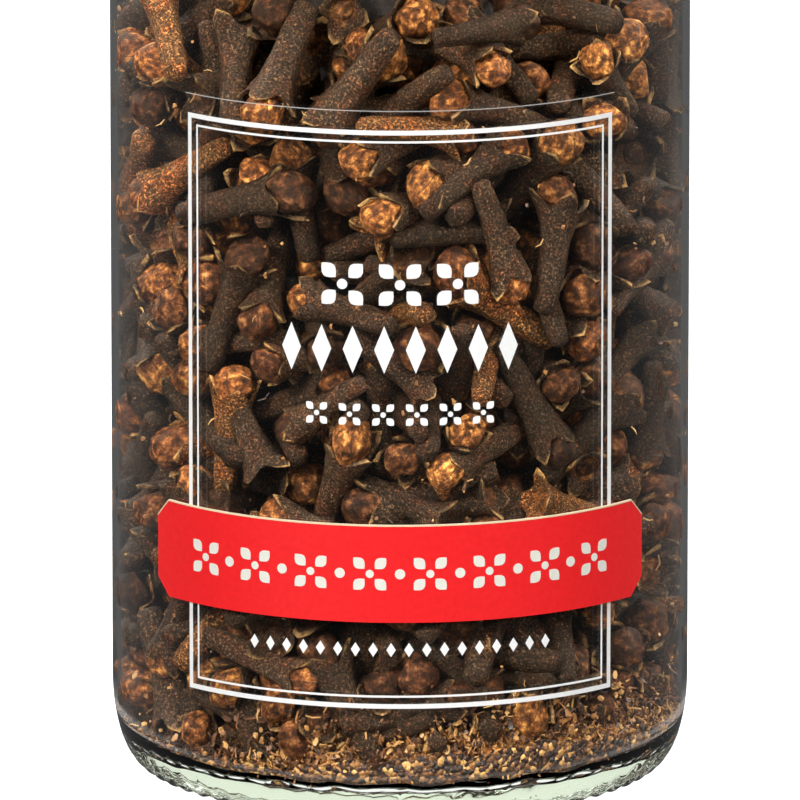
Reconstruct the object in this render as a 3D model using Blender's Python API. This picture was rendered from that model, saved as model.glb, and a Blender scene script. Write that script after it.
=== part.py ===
"""A clear glass jar of whole cloves, shut with a plain twist-off lid. A clear film label and a red
band label are wrapped round its front, which faces -Y. The jar stands on z = 0 with its axis on Z.
"""

import math
import random

import bmesh
import bpy
from mathutils import Matrix, Vector

MM = 0.001
AROUND = 48  # flat faces round the jar, the lid and the heap's core
FACET = math.tau / AROUND
CLEARANCE = 0.3 * MM  # kept between the pieces
AXIS_RADIUS = 1e-7  # an outline's point nearer the axis than this is a pole
CREASE = math.radians(35)  # edges sharper than this stay sharp

# Jar
JAR_RADIUS = 27.8 * MM
WALL = 1.1 * MM
INNER_RADIUS = JAR_RADIUS - WALL
HEEL_WIDTH = 3.2 * MM  # how far the heel draws in
HEEL_HEIGHT = 8.5 * MM
FOOT_INNER_RADIUS = 21.5 * MM
PUSH_UP = 1.2 * MM  # the height of the hollow under the base
PUSH_UP_RADIUS = 17.0 * MM
INSIDE_FLOOR = 3.0 * MM
INSIDE_DOME = 0.5 * MM
INSIDE_CORNER = 2.5 * MM
SHOULDER_START = 82.0 * MM
SHOULDER_HEIGHT = 8.0 * MM
NECK_RADIUS = 23.4 * MM
NECK_WALL = 1.9 * MM
NECK_TOP = 99.8 * MM

# Lid
LID_BOTTOM = 91.0 * MM
LID_TOP = 101.6 * MM
LID_RADIUS = 25.0 * MM
LID_WALL = 0.8 * MM
LID_EDGE_ROUND = 1.6 * MM
LID_CURL = 0.75 * MM
PANEL_RADIUS = 21.4 * MM
PANEL_DEPTH = 0.7 * MM
BUTTON_RADIUS = 9.0 * MM
BUTTON_TOP_RADIUS = 6.5 * MM
BUTTON_RISE = 0.45 * MM

# Labels
ANGLE_GAP = 0.001  # radians: a sheet's end closer to one of the jar's edges takes its place
FILM_HALF_ANGLE = math.radians(46.4)
FILM_BOTTOM = 9.9 * MM
FILM_TOP = 69.8 * MM
FILM_GAP = 0.12 * MM
FILM_THICKNESS = 0.15 * MM
BAND_HALF_ANGLE = math.radians(54.4)
BAND_BOTTOM = 20.25 * MM
BAND_TOP = 29.75 * MM
BAND_CORNER = 1.7 * MM
BAND_GAP = 0.12 * MM
BAND_THICKNESS = 0.2 * MM

# Cloves
HEAP_RADIUS = INNER_RADIUS * math.cos(FACET / 2) - CLEARANCE
HEAP_FLOOR = INSIDE_FLOOR + INSIDE_DOME + CLEARANCE
HEAP_TOP = 85.8 * MM
HEAP_NARROWS = 5.8 * MM  # how much the heap draws in under the shoulder
CORE_RADIUS = 23.6 * MM
CORE_CORNER = 4.0 * MM
CORE_TOP = 82.5 * MM
CORE_DOME = 1.0 * MM
CLOVE_LENGTH = 14.2 * MM
STEM_LENGTH = 9.9 * MM
STEM_RADIUS = 1.85 * MM  # to the stem's four corners
FOOT_RADIUS = 1.05 * MM
CALYX_RADIUS = 3.1 * MM  # to the tips of the four points
CALYX_HEIGHT = 1.2 * MM
BUD_RADIUS = 2.5 * MM
BUD_MIDDLE, BUD_TIP = 2.8 * MM, 4.3 * MM  # heights of its widest ring and its tip above the stem
CUP_DEPTH = 0.3 * MM  # where the bud has dropped off, the middle is this much below the points
SIDES = 4
SHORTEST, LONGEST = 0.86, 1.12  # how uneven the cloves are in size
OPEN_SHARE = 0.25  # cloves that have lost their bud
ROWS, COLUMNS = 10, 13
GRID_SHAKE = 0.2  # how far a clove may stray from its place in the grid, as a share of one step
MOST_DIP = 0.35  # radians that a clove may tilt towards the middle or the glass
TOP_RINGS = ((18.0 * MM, 9), (12.0 * MM, 6), (5.0 * MM, 3))
TOP_TILT = 0.12
SEED = 12


def clear_scene():
    for item in list(bpy.data.objects):
        bpy.data.objects.remove(item)


def make_material(name, colour, roughness, metallic=0.0, alpha=1.0):
    material = bpy.data.materials.new(name)
    material.use_nodes = True
    shader = material.node_tree.nodes["Principled BSDF"]
    shader.inputs["Base Color"].default_value = (*colour, 1.0)
    shader.inputs["Roughness"].default_value = roughness
    shader.inputs["Metallic"].default_value = metallic
    shader.inputs["Alpha"].default_value = alpha
    return material


def object_from(bm, name, material=None):
    """Closes a bmesh into a named object whose faces point outwards."""
    bmesh.ops.recalc_face_normals(bm, faces=bm.faces)
    mesh = bpy.data.meshes.new(name)
    bm.to_mesh(mesh)
    bm.free()
    thing = bpy.data.objects.new(name, mesh)
    bpy.context.scene.collection.objects.link(thing)
    if material:
        mesh.materials.append(material)
    return thing


def arc(centre, radii, start, end, steps):
    """Points on an elliptical arc in the (radius, height) plane, angles in degrees."""
    points = []
    for step in range(steps + 1):
        angle = math.radians(start + (end - start) * step / steps)
        points.append((centre[0] + radii[0] * math.cos(angle), centre[1] + radii[1] * math.sin(angle)))
    return points


def turned(name, outline, material):
    """Turns a closed outline of (radius, height) points round Z. Points on the axis become poles."""
    bm = bmesh.new()
    rings = []
    for radius, height in outline:
        if radius < AXIS_RADIUS:
            rings.append([bm.verts.new((0, 0, height))])
            continue
        turn = (FACET * (step + 0.5) for step in range(AROUND))
        rings.append([bm.verts.new((radius * math.cos(t), radius * math.sin(t), height)) for t in turn])
    closes = len(rings[0]) > 1
    for index in range(len(rings) if closes else len(rings) - 1):
        low, high = rings[index], rings[(index + 1) % len(rings)]
        for step in range(AROUND):
            after = (step + 1) % AROUND
            corners = [ring[place % len(ring)] for ring, place in
                       ((low, step), (low, after), (high, after), (high, step))]
            bm.faces.new(list(dict.fromkeys(corners)))
    thing = object_from(bm, name, material)
    thing.data.shade_smooth()
    thing.data.set_sharp_from_angle(angle=CREASE)
    return thing


def jar_outline():
    """From the middle of the base's underside, up the outside, over the lip and down the inside."""
    foot = JAR_RADIUS - HEEL_WIDTH
    shoulder_width = JAR_RADIUS - NECK_RADIUS
    neck_inside = NECK_RADIUS - NECK_WALL
    inside_width = INNER_RADIUS - neck_inside
    waist = SHOULDER_START + SHOULDER_HEIGHT / 2
    outline = [(0, PUSH_UP), (PUSH_UP_RADIUS, PUSH_UP), (FOOT_INNER_RADIUS, 0)]
    outline += arc((foot, HEEL_HEIGHT), (HEEL_WIDTH, HEEL_HEIGHT), -90, 0, 5)
    half = (shoulder_width / 2, SHOULDER_HEIGHT / 2)
    outline += arc((JAR_RADIUS - half[0], SHOULDER_START), half, 0, 90, 3)
    outline += arc((NECK_RADIUS + half[0], SHOULDER_START + SHOULDER_HEIGHT), half, -90, -180, 2)[1:]
    lip = NECK_WALL / 2
    outline += arc((NECK_RADIUS - lip, NECK_TOP - lip), (lip, lip), 0, 180, 3)
    half = (inside_width / 2, SHOULDER_HEIGHT / 2)
    outline += arc((neck_inside + half[0], waist + half[1]), half, 180, 270, 2)
    outline += arc((INNER_RADIUS - half[0], waist - half[1]), half, 90, 0, 3)[1:]
    corner = (INNER_RADIUS - INSIDE_CORNER, INSIDE_FLOOR + INSIDE_CORNER)
    outline += arc(corner, (INSIDE_CORNER, INSIDE_CORNER), 0, -90, 3)
    outline.append((0, INSIDE_FLOOR + INSIDE_DOME))
    return outline


def lid_outline():
    """From the middle of the top, over the rim, down the skirt, round the curl and back up inside."""
    rim = LID_RADIUS - LID_EDGE_ROUND
    panel = LID_TOP - PANEL_DEPTH
    inside = LID_TOP - LID_WALL - PANEL_DEPTH
    outline = [(0, panel + BUTTON_RISE), (BUTTON_TOP_RADIUS, panel + BUTTON_RISE), (BUTTON_RADIUS, panel)]
    outline += [(PANEL_RADIUS, panel), (PANEL_RADIUS + PANEL_DEPTH, LID_TOP)]
    outline += arc((rim, LID_TOP - LID_EDGE_ROUND), (LID_EDGE_ROUND, LID_EDGE_ROUND), 90, 0, 3)
    outline += arc((LID_RADIUS, LID_BOTTOM + LID_CURL), (LID_CURL, LID_CURL), 90, -90, 3)
    outline += [(LID_RADIUS - LID_WALL, LID_BOTTOM), (LID_RADIUS - LID_WALL, inside), (0, inside)]
    return outline


def wrapped_sheet(name, corners, radius, thickness, material):
    """A thin sheet bent round the jar's front. Corners are (angle from the front, low, high)."""
    bm = bmesh.new()
    outer = radius + thickness
    columns = []
    for angle, low, high in corners:
        section = ((radius, low), (outer, low), (outer, high), (radius, high))
        points = [(depth * math.sin(angle), -depth * math.cos(angle), height) for depth, height in section]
        columns.append([bm.verts.new(point) for point in points])
    for left, right in zip(columns, columns[1:]):
        for side in range(4):
            after = (side + 1) % 4
            bm.faces.new((left[side], left[after], right[after], right[side]))
    bm.faces.new(columns[0])
    bm.faces.new(columns[-1][::-1])
    return object_from(bm, name, material)


def jar_facets(half_angle):
    """The angles of the jar's own edges inside the half angle, with the two ends of a sheet added."""
    edges = [(step + 0.5) * FACET for step in range(-AROUND // 2, AROUND // 2)]
    return [-half_angle, *(edge for edge in edges if abs(edge) < half_angle - ANGLE_GAP), half_angle]


def film_label(material):
    corners = [(angle, FILM_BOTTOM, FILM_TOP) for angle in jar_facets(FILM_HALF_ANGLE)]
    return wrapped_sheet("label_film", corners, JAR_RADIUS + FILM_GAP, FILM_THICKNESS, material)


def band_label(material):
    """The red band, with its four corners cut off at 45 degrees."""
    radius = JAR_RADIUS + FILM_GAP + FILM_THICKNESS + BAND_GAP
    cut_from = BAND_HALF_ANGLE - BAND_CORNER / radius
    corners = []
    for angle in sorted([*jar_facets(BAND_HALF_ANGLE), cut_from, -cut_from]):
        cut = max(0.0, abs(angle) - cut_from) * radius
        corners.append((angle, BAND_BOTTOM + cut, BAND_TOP - cut))
    return wrapped_sheet("label_band", corners, radius, BAND_THICKNESS, material)


def core_outline():
    """The heap's plain middle, which the cloves that show are fused to."""
    inset = CORE_RADIUS - CORE_CORNER
    outline = [(0, HEAP_FLOOR)]
    outline += arc((inset, HEAP_FLOOR + CORE_CORNER), (CORE_CORNER, CORE_CORNER), -90, 0, 2)
    outline += [(CORE_RADIUS, CORE_TOP - CORE_CORNER), (inset, CORE_TOP), (0, CORE_TOP + CORE_DOME)]
    return outline


def clove_rings(has_bud):
    """(height, radius, turned by half a side or not) up a clove of full size, and its tip's height."""
    calyx = STEM_LENGTH + CALYX_HEIGHT
    rings = [(0.0, FOOT_RADIUS, 0), (STEM_LENGTH, STEM_RADIUS, 0), (calyx, CALYX_RADIUS, 0)]
    if not has_bud:
        return rings, calyx - CUP_DEPTH
    rings.append((STEM_LENGTH + BUD_MIDDLE, BUD_RADIUS, 0.5))
    return rings, STEM_LENGTH + BUD_TIP


def clove(length, has_bud, twist):
    """A clove with few sides, standing on the origin along Z: a square stem, four spread calyx
    points and, unless it has dropped off, the bud."""
    scale = length / CLOVE_LENGTH
    rings, tip = clove_rings(has_bud)
    bm = bmesh.new()
    loops = []
    for height, radius, turned_by in rings:
        angles = [math.tau * (side + turned_by) / SIDES + twist for side in range(SIDES)]
        around = [(radius * math.cos(angle), radius * math.sin(angle), height) for angle in angles]
        loops.append([bm.verts.new(Vector(point) * scale) for point in around])
    pole = bm.verts.new((0, 0, tip * scale))
    for side in range(SIDES):
        after = (side + 1) % SIDES
        for low, high in zip(loops, loops[1:]):
            bm.faces.new((low[side], low[after], high[side]))
            bm.faces.new((low[after], high[after], high[side]))
        bm.faces.new((loops[-1][side], loops[-1][after], pole))
    bm.faces.new(loops[0][::-1])
    return object_from(bm, "piece")


def lay_on_wall(thing, length, angle, height, heading, dip):
    """Lays a clove against the glass: its middle at this angle and height, its axis turned by
    heading in the wall's plane and dipped inwards, and pulled in until it is clear of the glass."""
    outward = Vector((math.sin(angle), -math.cos(angle), 0))
    along = Vector((math.cos(angle), math.sin(angle), 0))
    axis = (along * math.cos(heading) + Vector((0, 0, 1)) * math.sin(heading)) * math.cos(dip)
    axis = axis + outward * math.sin(dip)
    turn = axis.to_track_quat("Z", "Y").to_matrix().to_4x4()
    mesh = thing.data
    mesh.transform(turn)
    middle = outward * HEAP_RADIUS + Vector((0, 0, height)) - axis * length / 2
    mesh.transform(Matrix.Translation(middle))
    reach = max((v.co - Vector((0, 0, v.co.z))).length for v in mesh.vertices)
    mesh.transform(Matrix.Translation(-outward * (reach - HEAP_RADIUS)))
    keep_inside(mesh)


def lay_on_top(thing, length, radius, angle, heading):
    """Lays a clove flat on the heap's top."""
    middle = Vector((radius * math.cos(angle), radius * math.sin(angle), CORE_TOP + STEM_RADIUS))
    axis = Vector((math.cos(heading), math.sin(heading), TOP_TILT))
    mesh = thing.data
    mesh.transform(axis.to_track_quat("Z", "Y").to_matrix().to_4x4())
    mesh.transform(Matrix.Translation(middle - axis * length / 2))
    keep_inside(mesh)


def keep_inside(mesh):
    """Moves any point that would reach the glass, its floor or its shoulder back inside."""
    for vertex in mesh.vertices:
        point = vertex.co
        point.z = min(max(point.z, HEAP_FLOOR + CLEARANCE), HEAP_TOP)
        above = max(0.0, point.z - SHOULDER_START) / SHOULDER_HEIGHT
        below = max(0.0, HEAP_FLOOR + INSIDE_CORNER - point.z)
        limit = HEAP_RADIUS - above * HEAP_NARROWS - below * below / (2 * INSIDE_CORNER)
        reach = math.hypot(point.x, point.y)
        if reach > limit:
            point.x *= limit / reach
            point.y *= limit / reach


def random_clove(rng):
    length = CLOVE_LENGTH * rng.uniform(SHORTEST, LONGEST)
    return clove(length, rng.random() > OPEN_SHARE, rng.uniform(0, math.tau)), length


def loose_cloves(rng):
    """The cloves that show: a staggered, uneven grid against the glass, and flat rings on top."""
    made = []
    step = (CORE_TOP - HEAP_FLOOR) / ROWS
    for row in range(ROWS):
        for column in range(COLUMNS):
            thing, length = random_clove(rng)
            place = column + 0.5 * (row % 2) + rng.uniform(-GRID_SHAKE, GRID_SHAKE)
            height = HEAP_FLOOR + step * (row + 0.5 + rng.uniform(-GRID_SHAKE, GRID_SHAKE))
            dip = rng.uniform(-MOST_DIP, MOST_DIP)
            lay_on_wall(thing, length, math.tau * place / COLUMNS, height, rng.uniform(0, math.tau), dip)
            made.append(thing)
    for radius, count in TOP_RINGS:
        for place in range(count):
            thing, length = random_clove(rng)
            angle = math.tau * (place + rng.uniform(0, GRID_SHAKE)) / count
            lay_on_top(thing, length, radius, angle, rng.uniform(0, math.tau))
            made.append(thing)
    return made


def drop_scraps(mesh):
    """Keeps the largest closed shell, so that sealed hollows are filled and loose bits are gone."""
    bm = bmesh.new()
    bm.from_mesh(mesh)
    bmesh.ops.triangulate(bm, faces=bm.faces)
    left, biggest = set(bm.faces), set()
    while left:
        shell, front = set(), [left.pop()]
        while front:
            face = front.pop()
            shell.add(face)
            pairs = [edge.link_faces for edge in face.edges if len(edge.link_faces) == 2]
            near = {other for pair in pairs for other in pair} & left
            left -= near
            front.extend(near)
        biggest = max(shell, biggest, key=len)
    bmesh.ops.delete(bm, geom=[face for face in bm.faces if face not in biggest], context="FACES")
    bm.to_mesh(mesh)
    bm.free()


def clove_heap(material):
    """One solid: the core with every clove that shows fused on by a single union."""
    core = turned("cloves", core_outline(), material)
    pieces = bpy.data.collections.new("clove_pieces")
    bpy.context.scene.collection.children.link(pieces)
    made = loose_cloves(random.Random(SEED))
    for thing in made:
        bpy.context.scene.collection.objects.unlink(thing)
        pieces.objects.link(thing)
    union = core.modifiers.new("fuse", "BOOLEAN")
    union.operation = "UNION"
    union.operand_type = "COLLECTION"
    union.collection = pieces
    union.solver = "MANIFOLD"
    bpy.context.view_layer.update()
    fused = bpy.data.meshes.new_from_object(core.evaluated_get(bpy.context.evaluated_depsgraph_get()))
    core.modifiers.clear()
    core.data = fused
    drop_scraps(fused)
    for thing in made:
        bpy.data.objects.remove(thing)
    bpy.data.collections.remove(pieces)
    return core


def main():
    clear_scene()
    turned("jar", jar_outline(), make_material("clear_glass", (0.86, 0.9, 0.86), 0.03, alpha=0.3))
    turned("lid", lid_outline(), make_material("black_lacquer", (0.02, 0.02, 0.022), 0.3, metallic=0.4))
    film_label(make_material("clear_film", (0.95, 0.95, 0.95), 0.1, alpha=0.2))
    band_label(make_material("red_paper", (0.8, 0.03, 0.03), 0.5))
    clove_heap(make_material("dried_clove", (0.1, 0.05, 0.03), 0.7))


main()
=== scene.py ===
# %% [markdown]
# # A glass jar of whole cloves
#
# A small round jar of clear glass, full of dried cloves. The cloves are what one looks at: several
# hundred of them, each a dark wrinkled stem with four little points and a round bud, pressed against
# the glass as they fell. Round the front lie a clear film printed in white and a red band.
#
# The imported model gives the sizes. It comes in first, and everything made here is fitted to it.

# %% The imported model
import math
import random

import bmesh
import bpy
import numpy as np
from mathutils import Matrix, Vector, noise


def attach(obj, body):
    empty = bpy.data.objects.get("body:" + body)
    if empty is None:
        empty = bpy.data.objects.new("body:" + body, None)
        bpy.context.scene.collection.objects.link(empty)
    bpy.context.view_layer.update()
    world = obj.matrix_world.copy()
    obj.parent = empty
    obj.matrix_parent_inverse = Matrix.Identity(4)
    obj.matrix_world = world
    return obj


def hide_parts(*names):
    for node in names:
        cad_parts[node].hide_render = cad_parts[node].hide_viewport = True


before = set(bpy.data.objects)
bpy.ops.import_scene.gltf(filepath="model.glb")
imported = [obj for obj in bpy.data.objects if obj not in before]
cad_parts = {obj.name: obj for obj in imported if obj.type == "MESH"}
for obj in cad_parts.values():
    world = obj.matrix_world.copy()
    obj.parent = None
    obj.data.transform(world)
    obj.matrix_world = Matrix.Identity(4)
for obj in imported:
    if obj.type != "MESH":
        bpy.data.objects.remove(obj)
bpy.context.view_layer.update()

MM = 0.001

# %% [markdown]
# ## Camera
#
# The photograph was taken with a long lens from a little above the jar: the straight lines of the
# label stay straight and the foot shows as a narrow ellipse. A long lens a good way off, tipped down
# by thirteen degrees, gives the same view. The jar's top lies above the picture's upper edge.

# %% Camera
CAMERA_AWAY = 1.5
CAMERA_RAISED = math.radians(13.2)
SEEN_WIDTH = 77.1 * MM
AIM = Vector((0, 0, 35.3 * MM))

camera = bpy.data.objects.new("camera", bpy.data.cameras.new("camera"))
bpy.context.scene.collection.objects.link(camera)
camera.data.lens = camera.data.sensor_width * CAMERA_AWAY / SEEN_WIDTH
camera.location = AIM + CAMERA_AWAY * Vector((0, -math.cos(CAMERA_RAISED), math.sin(CAMERA_RAISED)))
camera.rotation_euler = (math.pi / 2 - CAMERA_RAISED, 0, 0)
camera.data.clip_start, camera.data.clip_end = 0.1, 20
bpy.context.scene.camera = camera
print("lens", round(camera.data.lens), "mm")

# %% [markdown]
# ## Helpers for node trees
#
# Shaders and Geometry Nodes are both trees of nodes. These few helpers keep the cells below short:
# they add a node and plug in its inputs, open a new material or a Geometry Nodes tree with named
# inputs, run such a tree on an object, and keep the result as a plain mesh.

# %% Helpers for node trees
def plug(tree, socket, value):
    if isinstance(value, bpy.types.NodeSocket):
        tree.links.new(value, socket)
    else:
        socket.default_value = value


def plug_all(tree, node, inputs):
    """Plugs values, or other nodes' outputs, into inputs that are given by name or number."""
    for name, value in dict(inputs).items():
        plug(tree, node.inputs[name], value)


def add(tree, kind, inputs=(), **settings):
    """A new node of this kind. Inputs go by name or number, settings are its own properties."""
    node = tree.nodes.new(kind)
    for name, value in settings.items():
        setattr(node, name, value)
    plug_all(tree, node, inputs)
    return node


def math_node(tree, operation, *values):
    return add(tree, "ShaderNodeMath", enumerate(values), operation=operation).outputs[0]


def times(tree, first, second):
    return math_node(tree, "MULTIPLY", first, second)


def mix_value(tree, factor, first, second):
    return add(tree, "ShaderNodeMix", {0: factor, 2: first, 3: second}, data_type="FLOAT").outputs[0]


def rescale(tree, value, low, high, new_low, new_high):
    """Maps low to new_low and high to new_high, with a ramp in between."""
    inputs = {"Value": value, "From Min": low, "From Max": high, "To Min": new_low, "To Max": new_high}
    return add(tree, "ShaderNodeMapRange", inputs).outputs["Result"]


def between(tree, value, low, high):
    """0 below low, 1 above high and a ramp in between."""
    return rescale(tree, value, low, high, 0.0, 1.0)


def new_material(name):
    """A new material, its node tree and the tree's main shader."""
    material = bpy.data.materials.new(name)
    material.use_nodes = True
    return material, material.node_tree, material.node_tree.nodes["Principled BSDF"]


def on_piece(tree):
    """Where on the piece a shader is asked for, in the piece's own coordinates."""
    return add(tree, "ShaderNodeTexCoord").outputs["Object"]


def bumps(tree, height, depth):
    """The normals of small bumps, from their height. Depth is in metres."""
    return add(tree, "ShaderNodeBump", {"Height": height, "Distance": depth}).outputs[0]


def geometry_tree(name, **inputs):
    """A Geometry Nodes tree with named inputs, given as (socket type, value)."""
    tree = bpy.data.node_groups.new(name, "GeometryNodeTree")
    tree.interface.new_socket("Geometry", in_out="INPUT", socket_type="NodeSocketGeometry")
    for label, (kind, value) in inputs.items():
        socket = tree.interface.new_socket(label, in_out="INPUT", socket_type="NodeSocket" + kind)
        if value is not None:
            socket.default_value = value
    tree.interface.new_socket("Geometry", in_out="OUTPUT", socket_type="NodeSocketGeometry")
    return tree, tree.nodes.new("NodeGroupInput").outputs, tree.nodes.new("NodeGroupOutput")


def run_tree(thing, tree, **values):
    """Runs the tree on the object and returns what it makes as a plain mesh."""
    modifier = thing.modifiers.new(tree.name, "NODES")
    modifier.node_group = tree
    for item in tree.interface.items_tree:
        if item.in_out == "INPUT" and item.name in values:
            modifier[item.identifier] = values[item.name]
    bpy.context.view_layer.update()
    made = bpy.data.meshes.new_from_object(thing.evaluated_get(bpy.context.evaluated_depsgraph_get()))
    thing.modifiers.remove(modifier)
    return made


def keep(name, mesh, material, node):
    """Puts a finished mesh into the scene as a piece of the object that stands for a CAD node."""
    thing = bpy.data.objects.new(name, mesh)
    bpy.context.scene.collection.objects.link(thing)
    if not mesh.materials:
        mesh.materials.append(material)
    mesh.shade_smooth()
    mesh.set_sharp_from_angle(angle=math.radians(50))
    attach(thing, "root")
    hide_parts(node)
    mesh.calc_loop_triangles()
    print(name, len(mesh.loop_triangles), "triangles")
    return thing


# %% [markdown]
# ## Studio light
#
# A pale floor and a white backdrop, as for a picture in a shop. Two large soft lamps stand in front,
# left and right, so that every clove gets a soft highlight on both flanks, and a third above brings
# out the tops. Two more stand behind, so that the jar can be looked at from there too.
#
# Glass mirrors what is round it, and one even white room would lay a grey veil over the cloves. So
# the strength of the surround depends on the ray that asks for it. Past the jar and through a single
# wall one sees the white backdrop. In a mirror image the photographer's side is dark, and the room
# behind is bright above and below a dim strip, which is what the upright wall mirrors. Light that has
# come through the whole jar is dimmed, because a real heap has cloves in its middle, where this one
# has a dark core. Hardly any light fills the shadows, apart from what the floor throws straight up.

# %% Studio light
LAMPS = (
    ("lamp_left", (-0.55, -0.75, 0.55), 0.22, 9.5),
    ("lamp_right", (0.62, -0.62, 0.58), 0.22, 5.6),
    ("lamp_above", (0.0, -0.3, 0.95), 0.3, 4.0),
    ("lamp_behind_left", (-0.5, 0.65, 0.72), 0.25, 8.5),
    ("lamp_behind_right", (0.62, 0.52, 0.68), 0.25, 6.0),
)
BACKDROP, ROOM_LIGHT = 1.1, 0.0015
DARK_SIDE, SIDE_STRIP, THROUGH_HEAP = 0.0005, 0.105, 0.03
SIDE_EDGES = -0.3, 0.3
STRIP_LOW, STRIP_HIGH, SOFT_EDGE = -0.3, -0.16, 0.04
FRONT_LOW, FRONT_LOWEST = -0.7, -0.85
FLOOR_LIGHT, STEEP, STEEPEST = 1.1, -0.6, -0.75
ANY, ONE_WALL = 0.5, 2.5


def lamp(name, place, size, power):
    light = bpy.data.lights.new(name, "AREA")
    light.shape, light.size, light.energy = "SQUARE", size, power
    thing = bpy.data.objects.new(name, light)
    thing.location = place
    thing.rotation_euler = (AIM - thing.location).to_track_quat("-Z", "Y").to_euler()
    bpy.context.scene.collection.objects.link(thing)


def mirrored_light(tree, rays, way):
    """The strength that a mirror image of the surround has, by its direction."""
    from_inside = math_node(tree, "GREATER_THAN", rays["Transmission Depth"], ANY)
    above = between(tree, way["Z"], STRIP_HIGH, STRIP_HIGH + SOFT_EDGE)
    below = times(tree, between(tree, way["Z"], STRIP_LOW, STRIP_LOW - SOFT_EDGE), from_inside)
    back = mix_value(tree, math_node(tree, "MAXIMUM", above, below), SIDE_STRIP, BACKDROP)
    steep = times(tree, between(tree, way["Z"], FRONT_LOW, FRONT_LOWEST), from_inside)
    front = mix_value(tree, steep, DARK_SIDE, BACKDROP)
    return mix_value(tree, between(tree, way["Y"], *SIDE_EDGES), front, back)


def surround_strength(tree, rays, way):
    """The strength of the surround for this ray."""
    bounces = math_node(tree, "ADD", rays["Diffuse Depth"], rays["Glossy Depth"])
    unbounced = math_node(tree, "SUBTRACT", 1.0, math_node(tree, "GREATER_THAN", bounces, ANY))
    direct = math_node(tree, "MAXIMUM", rays["Is Camera Ray"], rays["Is Transmission Ray"])
    straight = times(tree, direct, unbounced)
    more_glossy = math_node(tree, "SUBTRACT", rays["Glossy Depth"], rays["Diffuse Depth"])
    shiny = math_node(tree, "GREATER_THAN", more_glossy, ANY)
    in_glass = math_node(tree, "LESS_THAN", rays["Transmission Depth"], ONE_WALL)
    backdrop = mix_value(tree, in_glass, THROUGH_HEAP, BACKDROP)
    room = mix_value(tree, between(tree, way["Z"], STEEP, STEEPEST), ROOM_LIGHT, FLOOR_LIGHT)
    strength = mix_value(tree, times(tree, shiny, in_glass), room, mirrored_light(tree, rays, way))
    return mix_value(tree, straight, strength, backdrop)


def surround():
    world = bpy.data.worlds.new("surround")
    world.use_nodes = True
    bpy.context.scene.world = world
    tree = world.node_tree
    rays = add(tree, "ShaderNodeLightPath").outputs
    direction = add(tree, "ShaderNodeTexCoord").outputs["Generated"]
    way = add(tree, "ShaderNodeSeparateXYZ", {0: direction}).outputs
    strength = surround_strength(tree, rays, way)
    plug_all(tree, tree.nodes["Background"], {"Color": (1, 1, 1, 1), "Strength": strength})


for setting in LAMPS:
    lamp(*setting)
surround()
bpy.context.scene.view_settings.view_transform = "Standard"
print(len(LAMPS), "lamps")

# %% [markdown]
# ## Shapes turned on the axis
#
# A pressed jar and a stamped lid are round, so an outline turned about the axis gives both. Each
# outline is a closed row of (radius, height) points in millimetres. Curved corners are arcs of an
# ellipse, with enough steps that the glass bends light smoothly.

# %% Shapes turned on the axis
def arc(centre, radii, start, end, steps):
    turns = np.radians(np.linspace(start, end, steps + 1))
    return [(centre[0] + radii[0] * math.cos(t), centre[1] + radii[1] * math.sin(t)) for t in turns]


def mesh_from(name, points, faces):
    mesh = bpy.data.meshes.new(name)
    mesh.from_pydata([tuple(p) for p in np.asarray(points) * MM], [], faces)
    mesh.update()
    return mesh


def fix_normals(mesh):
    """Turns every face outwards."""
    shell = bmesh.new()
    shell.from_mesh(mesh)
    bmesh.ops.recalc_face_normals(shell, faces=shell.faces)
    shell.to_mesh(mesh)
    shell.free()


def turned(name, outline, around, shift=None):
    """Turns the outline round Z. Shift moves the points of a ring up, as a function of the angle."""
    turns = 2 * np.pi * np.arange(around) / around
    points, rings = [], []
    for radius, height in outline:
        if radius < 1e-6:
            rings.append([len(points)] * around)
            points.append((0, 0, height))
            continue
        rings.append(list(range(len(points), len(points) + around)))
        lift = shift(radius, height, turns) if shift else 0 * turns
        points += list(zip(radius * np.cos(turns), radius * np.sin(turns), height + lift))
    faces = []
    for low, high in zip(rings, rings[1:] + rings[:1]):
        if low[0] == low[1] and high[0] == high[1]:
            continue
        for step in range(around):
            after = (step + 1) % around
            faces.append(list(dict.fromkeys((low[step], low[after], high[after], high[step]))))
    mesh = mesh_from(name, points, faces)
    fix_normals(mesh)
    return mesh


# %% [markdown]
# ## The glass jar
#
# The wall is thin and even, the base thick, with a rounded heel. The foot has a ring of small
# bumps, pressed into it so that hot jars don't slip on the belt, the underside has faint ripples, and
# the inside floor is a little wavy. Looking through the base, all of these break up the white floor
# into the bright and dark streaks that one sees in real glass, so they are real shape and not a
# texture.

# %% The glass jar
JAR_RADIUS, WALL = 27.8, 0.7
INNER_RADIUS = JAR_RADIUS - WALL
HEEL_WIDTH, HEEL_HEIGHT = 3.2, 8.5
FOOT_INNER_RADIUS, FOOT_FILLET = 21.5, 0.5
PUSH_UP, PUSH_UP_CURVE, PUSH_UP_EDGE, FLAT_MIDDLE = 1.2, 0.6, 0.04, 3
INSIDE_FLOOR, INSIDE_DOME, DOME_RADIUS, INSIDE_CORNER = 3.0, 0.5, 25, 2.5
SHOULDER_START, SHOULDER_HEIGHT = 82.0, 8.0
NECK_RADIUS, NECK_WALL, NECK_TOP = 23.4, 1.9, 99.8
BUMPS, BUMP_HEIGHT, BUMP_REACH, BUMP_TOP = 66, 0.35, 3.0, 2.5
RIPPLES, RIPPLE_HEIGHT, RIPPLE_STEPS = 9, 0.12, 4
UNEVEN, WAVE_SCALE, WAVE_LAYER = 0.22, 0.45, 4.0
FLOOR_ZONE, WAVES_FROM = (INSIDE_FLOOR - 0.1, INSIDE_FLOOR + 1.2), 2
WALL_ROWS, FLOOR_ROWS = (20, 40, 60), (21, 18, 15, 12, 9, 6, 3)
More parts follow.
